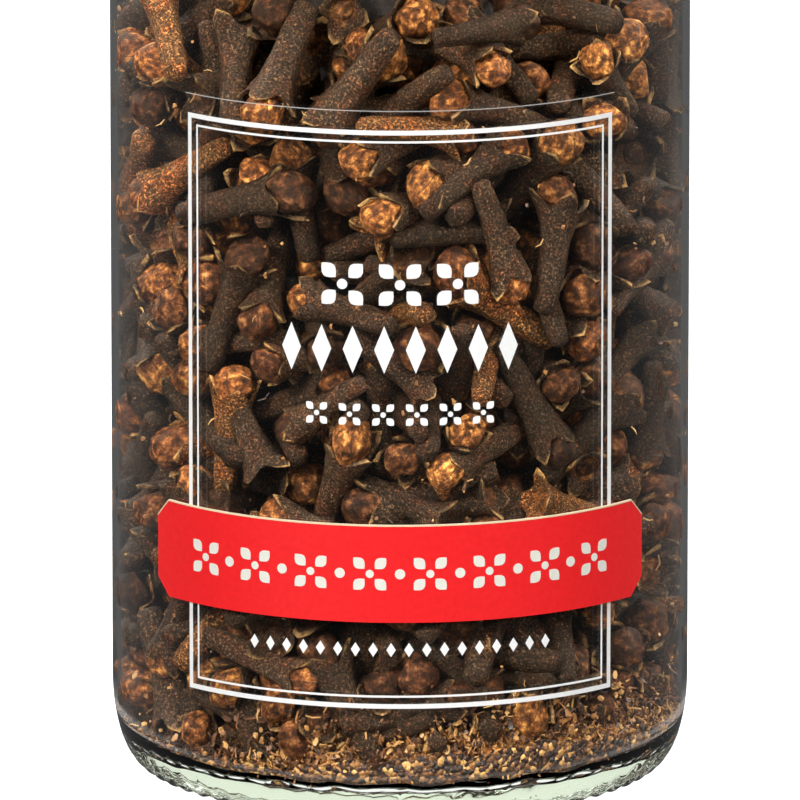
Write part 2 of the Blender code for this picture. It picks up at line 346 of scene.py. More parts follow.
HEEL_STEPS, CORNER_STEPS, SHOULDER_STEPS, NECK_STEPS, LIP_STEPS = 18, 14, 10, 8, 10
JAR_AROUND = BUMPS * 4


def underside():
    """The pushed-up middle, with its ripples, from the axis to the foot."""
    line = [(0, PUSH_UP), (FLAT_MIDDLE, PUSH_UP)]
    steps = RIPPLES * RIPPLE_STEPS
    for step in range(1, steps):
        share = step / steps
        height = PUSH_UP * math.cos(math.pi / 2 * share) ** PUSH_UP_CURVE
        ripple = RIPPLE_HEIGHT * math.sin(2 * math.pi * RIPPLES * share) * math.sin(math.pi * share)
        radius = FLAT_MIDDLE + (FOOT_INNER_RADIUS - FLAT_MIDDLE) * share
        line.append((radius, height + ripple + PUSH_UP_EDGE))
    return line


def jar_outside():
    foot, half = JAR_RADIUS - HEEL_WIDTH, ((JAR_RADIUS - NECK_RADIUS) / 2, SHOULDER_HEIGHT / 2)
    line = underside() + [(FOOT_INNER_RADIUS + FOOT_FILLET, 0), ((FOOT_INNER_RADIUS + foot) / 2, 0)]
    line += arc((foot, HEEL_HEIGHT), (HEEL_WIDTH, HEEL_HEIGHT), -90, 0, HEEL_STEPS)
    line += [(JAR_RADIUS, height) for height in WALL_ROWS]
    line += arc((JAR_RADIUS - half[0], SHOULDER_START), half, 0, 90, SHOULDER_STEPS)
    middle = (NECK_RADIUS + half[0], SHOULDER_START + SHOULDER_HEIGHT)
    return line + arc(middle, half, -90, -180, NECK_STEPS)[1:]


def inside_floor(radius):
    """The height of the glass floor inside, which rises a little towards the middle."""
    return INSIDE_FLOOR + INSIDE_DOME * (1 - (radius / DOME_RADIUS) ** 2)


def jar_inside():
    inside = NECK_RADIUS - NECK_WALL
    half = ((INNER_RADIUS - inside) / 2, SHOULDER_HEIGHT / 2)
    middle = SHOULDER_START + SHOULDER_HEIGHT / 2
    lip = NECK_WALL / 2
    line = arc((NECK_RADIUS - lip, NECK_TOP - lip), (lip, lip), 0, 180, LIP_STEPS)
    line += arc((inside + half[0], middle + half[1]), half, 180, 270, NECK_STEPS)
    line += arc((INNER_RADIUS - half[0], middle - half[1]), half, 90, 0, SHOULDER_STEPS)[1:]
    line += [(INNER_RADIUS, height) for height in reversed(WALL_ROWS)]
    corner = (INNER_RADIUS - INSIDE_CORNER, INSIDE_FLOOR + INSIDE_CORNER)
    line += arc(corner, (INSIDE_CORNER, INSIDE_CORNER), 0, -90, CORNER_STEPS)
    line += [(radius, inside_floor(radius)) for radius in FLOOR_ROWS]
    return line + [(0, INSIDE_FLOOR + INSIDE_DOME)]


def uneven_base(radius, height, turns):
    """Notches between the bumps lift the foot there, and the inside floor is a little wavy."""
    if FLOOR_ZONE[0] < height < FLOOR_ZONE[1] and WAVES_FROM < radius < INNER_RADIUS:
        places = [Vector((radius * math.cos(t), radius * math.sin(t), WAVE_LAYER)) for t in turns]
        return UNEVEN * np.array([noise.noise(place * WAVE_SCALE) for place in places])
    near = 1 - abs(radius - (JAR_RADIUS - HEEL_WIDTH)) / BUMP_REACH
    if near <= 0 or height > BUMP_TOP:
        return 0 * turns
    return BUMP_HEIGHT * near * (0.5 + 0.5 * np.cos(BUMPS * turns))


def clear_glass():
    """Clear glass with a faint green. It lets the lamps through, as shadow rays can't bend."""
    material, tree, glass = new_material("clear_glass")
    plug_all(tree, glass, {"Base Color": (0.97, 0.985, 0.965, 1), "Transmission Weight": 1.0, "IOR": 1.5,
                           "Roughness": 0.0})
    through = add(tree, "ShaderNodeBsdfTransparent").outputs[0]
    is_shadow = add(tree, "ShaderNodeLightPath").outputs["Is Shadow Ray"]
    mix = add(tree, "ShaderNodeMixShader", {0: is_shadow, 1: glass.outputs[0], 2: through})
    green = add(tree, "ShaderNodeVolumeAbsorption", {"Color": (0.7, 0.84, 0.55, 1), "Density": 15.0})
    plug_all(tree, tree.nodes["Material Output"], {"Surface": mix.outputs[0], "Volume": green.outputs[0]})
    return material


glass = turned("glass_jar", jar_outside() + jar_inside(), JAR_AROUND, uneven_base)
keep("glass_jar", glass, clear_glass(), "jar")

# %% [markdown]
# ## How one clove is shaped
#
# A clove is a dried flower bud. Its stem is slightly square and wrinkled, and widens upwards into
# four pointed sepals that spread like a tiny crown. Between them sits the bud, a ball of four
# petals that wrap over one another. On some the ball has dropped off and leaves a shallow cup.
#
# The whole thing is one skin of rings, from the foot of the stem to the tip of the bud. A star
# function, high on four sides, pushes some rings out and up into the points. Every point of the
# mesh also keeps where it lay on the straight clove, so that grain and petal seams stick to the
# surface however the clove is bent and laid.

# %% How one clove is shaped
SIDES = 20
CLOVE_LONG = 13.5
COLLAR = 9.5
STEM = ((0.0, 0.7), (0.3, 1.08), (1.6, 1.22), (3.0, 1.3), (4.4, 1.36),
        (5.8, 1.42), (7.0, 1.5), (8.1, 1.66), (8.9, 1.9))
BUD = ((9.5, 1.72), (10.0, 2.05), (10.6, 2.22), (11.2, 2.27), (11.8, 2.18), (12.4, 1.88),
       (12.9, 1.4), (13.2, 0.75))
CUP = ((9.5, 1.5), (9.2, 1.15), (9.45, 1.0), (9.55, 0.55))
# radius, how far its points reach out, height above the collar, how far they reach up, part, gold
CROWN = ((1.95, 0.45, 0.0, 0.45, 0.1, 0.0), (2.05, 0.85, 0.2, 1.0, 0.2, 0.0),
         (2.05, 1.15, 0.35, 1.55, 0.3, 1.0), (1.75, 0.9, 0.34, 1.5, 0.4, 0.6),
         (1.62, 0.3, 0.1, 0.5, 0.5, 0.0))
ON_BUD, IN_CUP = 1.0, 0.75
STEM_END, BUD_TIP, CUP_MIDDLE = -0.05, 13.3, 9.65
LOBE_SIZES, POINT_SHARPNESS, PLAIN_GOLD, POINT_GOLD = (0.65, 1.15), 1.1, 0.35, 0.65
BUD_MIDDLE, FLATS, FLAT_DEPTHS = Vector((0, 0, 11.2)), 8, (1.45, 1.85)
LAP_TURN, LAP_STEP = 0.12, 0.12
OVAL, WRINKLE, WRINKLE_SCALE, LEAST_RADIUS = 0.9, 0.17, (1.1, 0.5), 0.5
RIDGE, RIDGES, RIDGE_TWIST, CALM_HEAD = 0.05, 5, 0.35, 0.6


def star(turns, lobes):
    """1 at the middle of each of the four points and 0 between them, scaled by each point's size."""
    nearest = np.round(turns / (np.pi / 2)).astype(int) % 4
    return ((1 + np.cos(4 * turns)) / 2) ** POINT_SHARPNESS * np.asarray(lobes)[nearest]


def clove_rings(lobes, spread, lift, has_bud):
    """(radii, heights, part, gold) of every ring. Part is 0 on the stem and 1 on the bud."""
    turns = 2 * np.pi * np.arange(SIDES) / SIDES
    points, flat = star(turns, lobes), np.ones(SIDES)
    rings = [(radius * flat, height * flat, 0.0, 0 * flat) for height, radius in STEM]
    for radius, out, height, up, part, gold in CROWN:
        tall = COLLAR + height + up * lift * points
        rings.append((radius + out * spread * points, tall, part, gold * (PLAIN_GOLD + POINT_GOLD * points)))
    for height, radius in BUD if has_bud else CUP:
        lap = (turns * 2 / np.pi + height * LAP_TURN) % 1.0
        shape = 1 + LAP_STEP * (lap - 0.5) if has_bud else flat
        rings.append((radius * shape, height * flat, ON_BUD if has_bud else IN_CUP, 0 * flat))
    return rings, turns


def flatten(place, planes):
    """Presses flats into the bud, as dried buds are angular rather than round."""
    out = place - BUD_MIDDLE
    for normal, far in planes:
        reach = out.dot(normal)
        if reach > far:
            out *= far / reach
    return BUD_MIDDLE + out


def wrinkles(place, turn, radius, height, seed, phase):
    """How far wrinkles and ridges push a point out, in proportion to its radius."""
    wide, tall = WRINKLE_SCALE
    spot = Vector((place.x * wide, place.y * wide, height * tall))
    push = WRINKLE * noise.noise(spot + Vector((seed, 0, phase)))
    push += RIDGE * math.cos(RIDGES * turn + phase + RIDGE_TWIST * height)
    return push / max(radius, LEAST_RADIUS)


def ring_faces(count):
    """Four-sided faces between each ring of points and the next."""
    faces = []
    for low in range(0, (count - 1) * SIDES, SIDES):
        for side in range(SIDES):
            after = (side + 1) % SIDES
            faces.append([low + side, low + after, low + SIDES + after, low + SIDES + side])
    return faces


def clove_mesh(name, seed, has_bud=True, spread=1.0, lift=1.0, bend=0.5, slim=1.0):
    rng = random.Random(seed)
    lobes = [rng.uniform(*LOBE_SIZES) for _ in range(4)]
    rings, turns = clove_rings(lobes, spread, lift, has_bud)
    phase, lean = rng.uniform(0, 6), rng.uniform(0, 2 * math.pi)
    ways = [Vector([rng.gauss(0, 1) for _ in range(3)]).normalized() for _ in range(FLATS)]
    planes = [(way, rng.uniform(*FLAT_DEPTHS)) for way in ways]
    points, straight, part, gold = [], [], [], []
    for radii, heights, zone, shine in rings:
        calm = 1 if zone == 0 else CALM_HEAD
        for turn, radius, height, bright in zip(turns, radii, heights, shine):
            place = Vector((radius * math.cos(turn) * slim, radius * math.sin(turn) * OVAL, height))
            straight.append(place.copy())
            place.xy *= 1 + wrinkles(place, turn, radius, height, seed, phase) * calm
            if zone == ON_BUD:
                place = flatten(place, planes)
            sag = bend * (height / CLOVE_LONG) ** 2
            place += Vector((sag * math.cos(lean), sag * math.sin(lean), 0))
            points.append(place)
            part.append(zone)
            gold.append(bright)
    faces = ring_faces(len(rings))
    for ring, height in ((0, STEM_END), (len(rings) - 1, BUD_TIP if has_bud else CUP_MIDDLE)):
        middle = sum((points[ring * SIDES + side] for side in range(SIDES)), Vector()) / SIDES
        middle.z = height
        points.append(middle)
        straight.append(Vector((0, 0, height)))
        part.append(part[ring * SIDES])
        gold.append(0)
        for side in range(SIDES):
            edge = [ring * SIDES + side, ring * SIDES + (side + 1) % SIDES]
            faces.append([len(points) - 1, *(edge[::-1] if ring == 0 else edge)])
    mesh = mesh_from(name, points, faces)
    mesh.attributes.new("part", "FLOAT", "POINT").data.foreach_set("value", part)
    mesh.attributes.new("gold", "FLOAT", "POINT").data.foreach_set("value", gold)
    mesh.attributes.new("straight", "FLOAT_VECTOR", "POINT").data.foreach_set("vector", np.ravel(straight))
    return mesh


KINDS = (
    ("cloves_plump", dict(seed=3, bend=0.3, slim=1.1)),
    ("cloves_slender", dict(seed=8, bend=1.0, slim=0.9, spread=0.8)),
    ("cloves_bent", dict(seed=12, bend=1.7, lift=1.2)),
    ("cloves_wide_crown", dict(seed=21, bend=0.6, spread=1.25, lift=0.8)),
    ("cloves_closed_crown", dict(seed=27, bend=0.2, spread=0.55, lift=1.35)),
    ("cloves_uneven", dict(seed=35, bend=1.2, spread=1.1, lift=1.1)),
    ("cloves_open_cup", dict(seed=41, bend=0.8, has_bud=False, spread=1.0, lift=1.1)),
    ("cloves_open_flared", dict(seed=52, bend=1.4, has_bud=False, spread=1.3, lift=0.7)),
)
templates = [clove_mesh(name, **shape) for name, shape in KINDS]
print(len(templates), "shapes of clove,", len(templates[0].polygons), "faces each")

# %% [markdown]
# ## How the cloves lie
#
# Cloves that are poured into a jar lie at every angle, close together, and flat against the glass.
# A rigid-body simulation could drop them, but hundreds of knobbly shapes take long to settle. A
# quicker way gives the same look: each clove is a stiff stick with five balls on it. The sticks
# start at random places with small balls, and the balls grow to full size while those that overlap
# push each other apart and the glass pushes them back in. The middle of the jar, which nobody sees,
# is kept free by a dark core.

# %% How the cloves lie
CLOVES = 780
BALL_PLACES = np.array((0.07, 0.25, 0.43, 0.61, 0.83))
BALL_SIZES = np.array((1.0, 1.2, 1.35, 1.6, 2.3))
CORE_RADIUS, CORE_LOW, CORE_HIGH = 13.5, 18.0, 66.0
HEAP_TOP = 85.3
PRESSED, NEAR_GLASS, AIR_GAP = 0.5, 2.2, 0.08
STEPS, FALL, FALL_UNTIL = 240, 0.03, 0.8
START_SIZE, GROWTH, GROWN_AT = 0.45, 0.55, 0.75
LOOK_EVERY, LOOK_FURTHER = 8, 1.2
LONG_RANGE, RING_START, OFF_WALL, LOWEST, OFF_TOP = (0.84, 1.14), 0.25, 3, 5, 2
SHOULDER_SLOPE, CORNER_SAFE, SHARED_PUSH = 0.7, 0.95, 0.5


def close_pairs(points, owner, reach):
    square = (points ** 2).sum(1)
    apart = square[:, None] + square - 2 * points @ points.T
    first, second = np.nonzero(np.triu(apart < reach ** 2, 1))
    other = owner[first] != owner[second]
    return first[other], second[other]


def glass_push(points, sizes):
    """How far each ball must move to be inside the glass, under the top and outside the core."""
    push = np.zeros_like(points)
    flat = np.linalg.norm(points[:, :2], axis=1) + 1e-9
    low = np.clip(INSIDE_FLOOR + INSIDE_CORNER - points[:, 2], 0, INSIDE_CORNER)
    high = np.clip(points[:, 2] - SHOULDER_START, 0, SHOULDER_HEIGHT)
    low = np.minimum(low, INSIDE_CORNER * CORNER_SAFE)
    room = INNER_RADIUS - INSIDE_CORNER + np.sqrt(INSIDE_CORNER ** 2 - low ** 2)
    room = room - SHOULDER_SLOPE * high + PRESSED / 2 - sizes
    over = np.maximum(flat - room, 0)
    push[:, :2] -= points[:, :2] / flat[:, None] * over[:, None]
    push[:, 2] += np.maximum(INSIDE_FLOOR + INSIDE_DOME + sizes - points[:, 2], 0)
    push[:, 2] -= np.maximum(points[:, 2] + sizes - HEAP_TOP, 0)
    spine = np.stack((0 * flat, 0 * flat, np.clip(points[:, 2], CORE_LOW, CORE_HIGH)), 1)
    off = points - spine
    away = np.linalg.norm(off, axis=1) + 1e-9
    push += off / away[:, None] * np.maximum(CORE_RADIUS + sizes - away, 0)[:, None]
    return push


def settle(count, seed):
    rng = np.random.default_rng(seed)
    long = CLOVE_LONG * rng.uniform(*LONG_RANGE, count)
    turn = rng.uniform(0, 2 * np.pi, count)
    out = np.sqrt(rng.uniform(RING_START, 1, count)) * (INNER_RADIUS - OFF_WALL)
    up = rng.uniform(LOWEST, HEAP_TOP - OFF_TOP, count)
    middle = np.stack((out * np.cos(turn), out * np.sin(turn), up), 1)
    axis = rng.normal(size=(count, 3))
    axis /= np.linalg.norm(axis, axis=1)[:, None]
    tail, head = middle - axis * long[:, None] / 2, middle + axis * long[:, None] / 2
    owner = np.repeat(np.arange(count), len(BALL_PLACES))
    share = np.tile(BALL_PLACES, count)[:, None]
    full = np.tile(BALL_SIZES, count) * np.repeat(long, len(BALL_PLACES)) / CLOVE_LONG
    weight = (1 - share) ** 2 + share ** 2
    for step in range(STEPS):
        sizes = full * min(1.0, START_SIZE + GROWTH * step / (GROWN_AT * STEPS))
        points = tail[owner] * (1 - share) + head[owner] * share
        if step % LOOK_EVERY == 0:
            first, second = close_pairs(points, owner, 2 * sizes.max() + LOOK_FURTHER)
        across = points[second] - points[first]
        gap = np.linalg.norm(across, axis=1) + 1e-9
        deep = np.maximum(sizes[first] + sizes[second] - gap, 0)
        move = across / gap[:, None] * deep[:, None] * SHARED_PUSH
        push = np.zeros_like(points)
        for axis_number in range(3):
            push[:, axis_number] += np.bincount(second, move[:, axis_number], len(points))
            push[:, axis_number] -= np.bincount(first, move[:, axis_number], len(points))
        push += glass_push(points, sizes)
        push[:, 2] -= FALL * (step < FALL_UNTIL * STEPS)
        touching = np.bincount(owner, np.linalg.norm(push, axis=1) > 1e-6, count)
        ease = 1.0 / np.maximum(1.0, SHARED_PUSH * touching)
        for end, pull in ((tail, 1 - share), (head, share)):
            for axis_number in range(3):
                moved = np.bincount(owner, (push * pull / weight)[:, axis_number], count)
                end[:, axis_number] += moved * ease
        middle, axis = (tail + head) / 2, head - tail
        axis *= (long / np.linalg.norm(axis, axis=1) / 2)[:, None]
        tail, head = middle - axis, middle + axis
    worst, usual = float(deep.max()), float(deep[deep > 0].mean())
    print("deepest overlap left", round(worst, 2), "mm, mean", round(usual, 2), "mm")
    return tail, head, long


tails, heads, longs = settle(CLOVES, 5)

# %% [markdown]
# ## Laying the real shapes
#
# Each stick now gets one of the eight shapes, turned at random about its own length. The points of
# the crowns are wider than the balls were, so a clove that would stick through the glass is moved
# inwards by just that much, and one that nearly touches it is moved outwards until it does. Geometry
# Nodes then put the shapes on the points: rotation, size and a random number for the colour are
# attributes of the points.

# %% Laying the real shapes
def scatter_tree():
    """Puts the shape on every point, with the point's own turn and size, as real mesh."""
    tree, given, out = geometry_tree("scatter", Shape=("Object", None), Finish=("Material", None))
    shape = add(tree, "GeometryNodeObjectInfo", {"Object": given["Shape"]})
    turn = add(tree, "GeometryNodeInputNamedAttribute", {"Name": "turn"}, data_type="FLOAT_VECTOR")
    size = add(tree, "GeometryNodeInputNamedAttribute", {"Name": "size"}, data_type="FLOAT")
    turned_by = add(tree, "FunctionNodeEulerToRotation", {0: turn.outputs[0]})
    laid = add(tree, "GeometryNodeInstanceOnPoints", {
        "Points": given["Geometry"], "Instance": shape.outputs["Geometry"],
        "Rotation": turned_by.outputs[0], "Scale": size.outputs[0]})
    real = add(tree, "GeometryNodeRealizeInstances", {"Geometry": laid.outputs["Instances"]})
    painted = {"Geometry": real.outputs["Geometry"], "Material": given["Finish"]}
    done = add(tree, "GeometryNodeSetMaterial", painted)
    plug(tree, out.inputs["Geometry"], done.outputs["Geometry"])
    return tree


def scatter(template, places, turns, sizes, tints, material):
    """Lays the template on every place, and returns the joined mesh."""
    cloud = bpy.data.meshes.new("places")
    cloud.from_pydata([tuple(place) for place in np.asarray(places) * MM], [], [])
    cloud.attributes.new("turn", "FLOAT_VECTOR", "POINT").data.foreach_set("vector", np.ravel(turns))
    cloud.attributes.new("size", "FLOAT", "POINT").data.foreach_set("value", sizes)
    cloud.attributes.new("tint", "FLOAT", "POINT").data.foreach_set("value", tints)
    shape, points = bpy.data.objects.new("shape", template), bpy.data.objects.new("points", cloud)
    for thing in (shape, points):
        bpy.context.scene.collection.objects.link(thing)
    made = run_tree(points, scatter_tools, Shape=shape, Finish=material)
    for thing in (shape, points):
        bpy.data.objects.remove(thing)
    return made


CORNER_LIMIT, OFF_FLOOR, KIND_SHARES = 0.98, 0.05, (3, 3, 3, 3, 2, 3, 2, 2)


def lay(tail, head, long, kind, roll):
    """The turn and place of one clove of this kind. Near the glass it is moved until it touches."""
    axis = Vector(head - tail).normalized()
    turn = axis.to_track_quat("Z", "Y").to_matrix() @ Matrix.Rotation(roll, 3, "Z")
    own = shapes_in_mm[kind] * (long / CLOVE_LONG) @ np.array(turn).T + tail
    flat = np.linalg.norm(own[:, :2], axis=1)
    low = np.clip(INSIDE_FLOOR + INSIDE_CORNER - own[:, 2], 0, INSIDE_CORNER * CORNER_LIMIT)
    high = np.clip(own[:, 2] - SHOULDER_START, 0, SHOULDER_HEIGHT)
    room = INNER_RADIUS - INSIDE_CORNER + np.sqrt(INSIDE_CORNER ** 2 - low ** 2) - SHOULDER_SLOPE * high
    room = np.where(low > 0, room - AIR_GAP, room + PRESSED)
    worst = int(np.argmax(flat - room))
    place, over = tail.copy(), flat[worst] - room[worst]
    if over > -NEAR_GLASS:
        place[:2] -= own[worst, :2] / flat[worst] * over
    place[2] += max(0.0, INSIDE_FLOOR + INSIDE_DOME + OFF_FLOOR - own[:, 2].min())
    return place, tuple(turn.to_euler())


scatter_tools = scatter_tree()
shapes_in_mm = [np.array([v.co / MM for v in mesh.vertices]) for mesh in templates]
rng = random.Random(17)
laid = {name: [] for name, _ in KINDS}
for tail, head, long in zip(tails, heads, longs):
    kind = rng.choices(range(len(KINDS)), KIND_SHARES)[0]
    place, turn = lay(tail, head, long, kind, rng.uniform(0, 2 * math.pi))
    laid[KINDS[kind][0]].append((place, turn, long / CLOVE_LONG, rng.random()))
print({name: len(found) for name, found in laid.items()})

# %% [markdown]
# ## The look of a dried clove
#
# The stem is nearly black brown with a fine, dry grain, whose palest specks are painted glints: tiny pale
# dots of colour that stand for light caught by the grain.
# The bud is redder and lighter, smooth like thin leather, with painted shade along a seam where each
# petal laps over the next, and its palest mottle is a painted highlight. The margins of the crown's
# points are pale gold, partly their own dried colour and partly a painted highlight on their edges. The
# mesh says which part is which, and the grain is noise on the straight clove, shifted by the clove's
# own random number so that no two look alike.

# %% The look of a dried clove
def ramp(tree, factor, *stops):
    """Colours along a factor, as (position, (r, g, b))."""
    node = add(tree, "ShaderNodeValToRGB", {"Fac": factor})
    while len(node.color_ramp.elements) < len(stops):
        node.color_ramp.elements.new(0.5)
    for element, (position, colour) in zip(node.color_ramp.elements, stops):
        element.position, element.color = position, (*colour, 1)
    return node.outputs["Color"]


def blend(tree, factor, first, second, how="MIX"):
    node = add(tree, "ShaderNodeMix", data_type="RGBA", blend_type=how)
    for socket, value in ((0, factor), (6, first), (7, second)):
        plug(tree, node.inputs[socket], value)
    return node.outputs[2]


def grain(tree, place, scale, detail=3.0, rough=0.6):
    inputs = {"Vector": place, "Scale": scale, "Detail": detail, "Roughness": rough}
    node = add(tree, "ShaderNodeTexNoise", inputs)
    return node.outputs["Fac"]


def attribute(tree, name, output="Fac"):
    return add(tree, "ShaderNodeAttribute", attribute_name=name).outputs[output]


# Stem browns along the fine grain. The palest stop is painted glints, tiny pale dots that stand for light
# caught by the grain.
STEM_BROWNS_AND_GLINTS = ((0.38, (0.005, 0.0028, 0.002)), (0.5, (0.021, 0.0105, 0.006)), (0.58, (0.07, 0.035, 0.017)),
               (0.68, (0.32, 0.18, 0.08)))
# Bud browns along the mottle: a random tone, but its palest stop is a painted highlight.
BUD_BROWNS_AND_HIGHLIGHTS = ((0.36, (0.016, 0.006, 0.004)), (0.47, (0.08, 0.026, 0.009)), (0.56, (0.25, 0.088, 0.024)),
              (0.67, (0.66, 0.34, 0.11)))
OWN_HUES = ((0.0, (0.25, 0.2, 0.24)), (0.35, (0.6, 0.5, 0.5)), (0.55, (1.0, 0.85, 0.7)),
            (0.8, (1.3, 1.15, 0.9)), (1.0, (1.6, 1.55, 1.2)))
REDDER, PALER = (1.5, 0.95, 0.7, 1), (2.6, 2.1, 1.2, 1)
OWN_OFFSET, LONG_WAY = (53.0, 31.0, 17.0), (1.0, 1.0, 0.35)
# The seam colour is painted shade along the petal laps. The gold rim is partly the crown's own pale gold and
# partly a painted highlight on its edges.
SEAM_SHADE, GOLD_RIM_AND_HIGHLIGHT = (0.03, 0.012, 0.007, 1), (0.66, 0.36, 0.12, 1)


def straight_place(tree, straight, tint):
    """Where on the straight clove the shader is, moved by the clove's own random number."""
    apart = add(tree, "ShaderNodeVectorMath", {0: tint, 1: OWN_OFFSET}, operation="MULTIPLY").outputs[0]
    return add(tree, "ShaderNodeVectorMath", {0: straight, 1: apart}, operation="ADD").outputs[0]


def petal_lap(tree, straight):
    """0 to 1 across each of the four petals, from the seam where it lies on top."""
    xyz = add(tree, "ShaderNodeSeparateXYZ", {0: straight}).outputs
    turn = math_node(tree, "ARCTAN2", xyz["Y"], xyz["X"])
    turn = math_node(tree, "MULTIPLY_ADD", turn, 2 / math.pi, times(tree, xyz["Z"], LAP_TURN))
    return math_node(tree, "FRACT", turn)


def stem_colour(tree, place, fine, tint):
    """Nearly black with pale dots that are painted glints, redder in patches, and paler on one clove in ten.
    """
    # The palest end of this grain ramp is painted glints.
    stem = ramp(tree, fine, *STEM_BROWNS_AND_GLINTS)
    patches = between(tree, grain(tree, place, 0.55, 2.0), 0.45, 0.7)
    stem = blend(tree, patches, stem, blend(tree, 1.0, stem, REDDER, "MULTIPLY"))
    return blend(tree, between(tree, tint, 0.88, 0.9), stem, blend(tree, 1.0, stem, PALER, "MULTIPLY"))


def bud_colour(tree, mottle, lap, tint):
    """Mottled leather brown in each clove's own hue, its palest mottle a painted highlight, with painted
    shade along the seams.
    """
    hue = math_node(tree, "FRACT", times(tree, tint, 7.0))
    # The palest end of the mottle ramp is a painted highlight.
    bud = blend(tree, 1.0, ramp(tree, mottle, *BUD_BROWNS_AND_HIGHLIGHTS), ramp(tree, hue, *OWN_HUES), "MULTIPLY")
    # Painted shade: a dark line along each seam where a petal laps over the next.
    return blend(tree, between(tree, lap, 0.0, 0.09), SEAM_SHADE, bud)


def dried_clove():
    material, tree, shader = new_material("dried_clove")
    part, gold, tint = (attribute(tree, name) for name in ("part", "gold", "tint"))
    straight = attribute(tree, "straight", "Vector")
    place, lap = straight_place(tree, straight, tint), petal_lap(tree, straight)
    long_way = add(tree, "ShaderNodeVectorMath", {0: place, 1: LONG_WAY}, operation="MULTIPLY").outputs[0]
    fine, mottle = grain(tree, place, 4.2, 4.0, 0.75), grain(tree, place, 1.15, 6.0, 0.68)
    wrinkle = grain(tree, long_way, 2.1, 5.0, 0.7)
    on_bud = between(tree, part, 0.55, 0.95)
    skin = blend(tree, on_bud, stem_colour(tree, place, fine, tint), bud_colour(tree, mottle, lap, tint))
    # Gold rim on the crown's points: partly their own pale gold, partly a painted highlight on their edges.
    rim = times(tree, between(tree, gold, 0.5, 0.95), between(tree, wrinkle, 0.38, 0.6))
    skin = blend(tree, rim, skin, GOLD_RIM_AND_HIGHLIGHT)
    shade = rescale(tree, tint, 0.0, 1.0, 0.6, 1.5)
    skin = add(tree, "ShaderNodeVectorMath", {0: skin, "Scale": shade}, operation="SCALE").outputs[0]
    coarse = mix_value(tree, on_bud, wrinkle, mottle)
    height = math_node(tree, "MULTIPLY_ADD", coarse, 0.6, times(tree, fine, 0.45))
    height = math_node(tree, "MULTIPLY_ADD", times(tree, lap, on_bud), 0.35, height)
    bump = add(tree, "ShaderNodeBump", {"Height": height, "Distance": 0.5 * MM, "Strength": 0.8})
    plug_all(tree, shader, {"Base Color": skin, "Roughness": rescale(tree, fine, 0.35, 0.7, 0.62, 0.36),
                            "Specular IOR Level": 0.3, "Specular Tint": (1.0, 0.82, 0.6, 1),
                            "Normal": bump.outputs[0]})
    return material


clove_skin = dried_clove()
for (name, _), template in zip(KINDS, templates):
    places, turns, sizes, tints = zip(*laid[name])
    spread_out = scatter(template, places, turns, sizes, tints, clove_skin)
    keep(name, spread_out, clove_skin, "cloves")

# %% [markdown]
# ## The dark middle of the heap
#
# Between the outer cloves one looks into deep shade and at more cloves. A lumpy core in nearly black
# brown fills the middle as painted shade, standing in for those shaded cloves: it costs little, and no
# light from behind leaks through the heap.

# %% The dark middle of the heap
# Nearly black browns: painted shade for the cloves that lie in shadow deep in the heap.
CORE_SHADE_BROWNS = ((0.35, (0.008, 0.005, 0.004)), (0.7, (0.04, 0.024, 0.016)))
LUMP, LUMP_SCALE = 1.6, 0.35


def core_mesh():
    foot, top = CORE_LOW - CORE_RADIUS + 1, CORE_HIGH + CORE_RADIUS - 1
    line = [(0, foot)] + arc((0, CORE_LOW), (CORE_RADIUS - 1, CORE_RADIUS - 1), -80, 0, 8)
    line += [(CORE_RADIUS - 1, row) for row in np.linspace(CORE_LOW + 2, CORE_HIGH - 2, 16)]
    line += arc((0, CORE_HIGH), (CORE_RADIUS - 1, CORE_RADIUS - 1), 0, 80, 8) + [(0, top)]
    mesh = turned("heap_core", line, 48)
    for vertex in mesh.vertices:
        lump = noise.fractal(vertex.co / MM * LUMP_SCALE, 1.0, 2.0, 3)
        vertex.co += Vector((vertex.co.x, vertex.co.y, 0)).normalized() * lump * LUMP * MM
    return mesh


def painted_shade_core():
    material, tree, shader = new_material("painted_shade_core")
    speck = grain(tree, on_piece(tree), 900.0, 4.0, 0.7)
    plug_all(tree, shader, {"Base Color": ramp(tree, speck, *CORE_SHADE_BROWNS), "Roughness": 0.9,
                            "Normal": bumps(tree, speck, 0.6 * MM)})
    return material


keep("heap_core", core_mesh(), painted_shade_core(), "cloves")

# %% [markdown]
# ## Crumbs
#
# Handling breaks cloves. Chips of the crowns, threads from inside the buds and dust trickle down
# and gather on the bottom, mostly at the front and to the right, and a few stick to the glass
# higher up. Three small shapes of a few faces each, scattered by the thousand, are enough: a
# curled flake, a thread and a grain.

# %% Crumbs
CRUMBS, SPECKS = 8400, 600
BED_TURN, BED_LOW, BED_HIGH = math.radians(24), 0.4, 4.2
BED_AROUND, BED_FLOOR_RADII = 240, (12, 15, 18, 21, 23.5)
BED_WALL_ROWS, BED_TOP_SHARES = 10, (0.97, 0.93, 0.88, 0.82, 0.74, 0.64, 0.5)
CHIPS = (("crumb_flakes", (0.85, 0.48, 0.12, 0.14)), ("crumb_threads", (1.5, 0.16, 0.12, 0.24)),
         ("crumb_grains", (0.42, 0.34, 0.28, 0.04)))
HEAPED_SHARE, HEAPED_WITHIN, HEAPED_AROUND = 0.8, (-45, 100), 25
LAYER_LOW, PILED_UP, THINLY, PILE_LIMIT = 0.6, 1.3, 0.7, 6.0
OFF_GLASS, ON_GLASS, CRUMB_SIZES, SPECK_SIZE = 0.42, 0.12, (0.45, 1.25), 0.8
BED_SWELL, BED_SLOPE, BED_LUMP, BED_LEAST = 0.9, 3.5, 0.7, 0.4
CRUMB_BROWNS = ((0.0, (0.03, 0.014, 0.008)), (0.4, (0.15, 0.055, 0.018)), (0.75, (0.42, 0.18, 0.05)),
                (1.0, (0.8, 0.47, 0.16)))
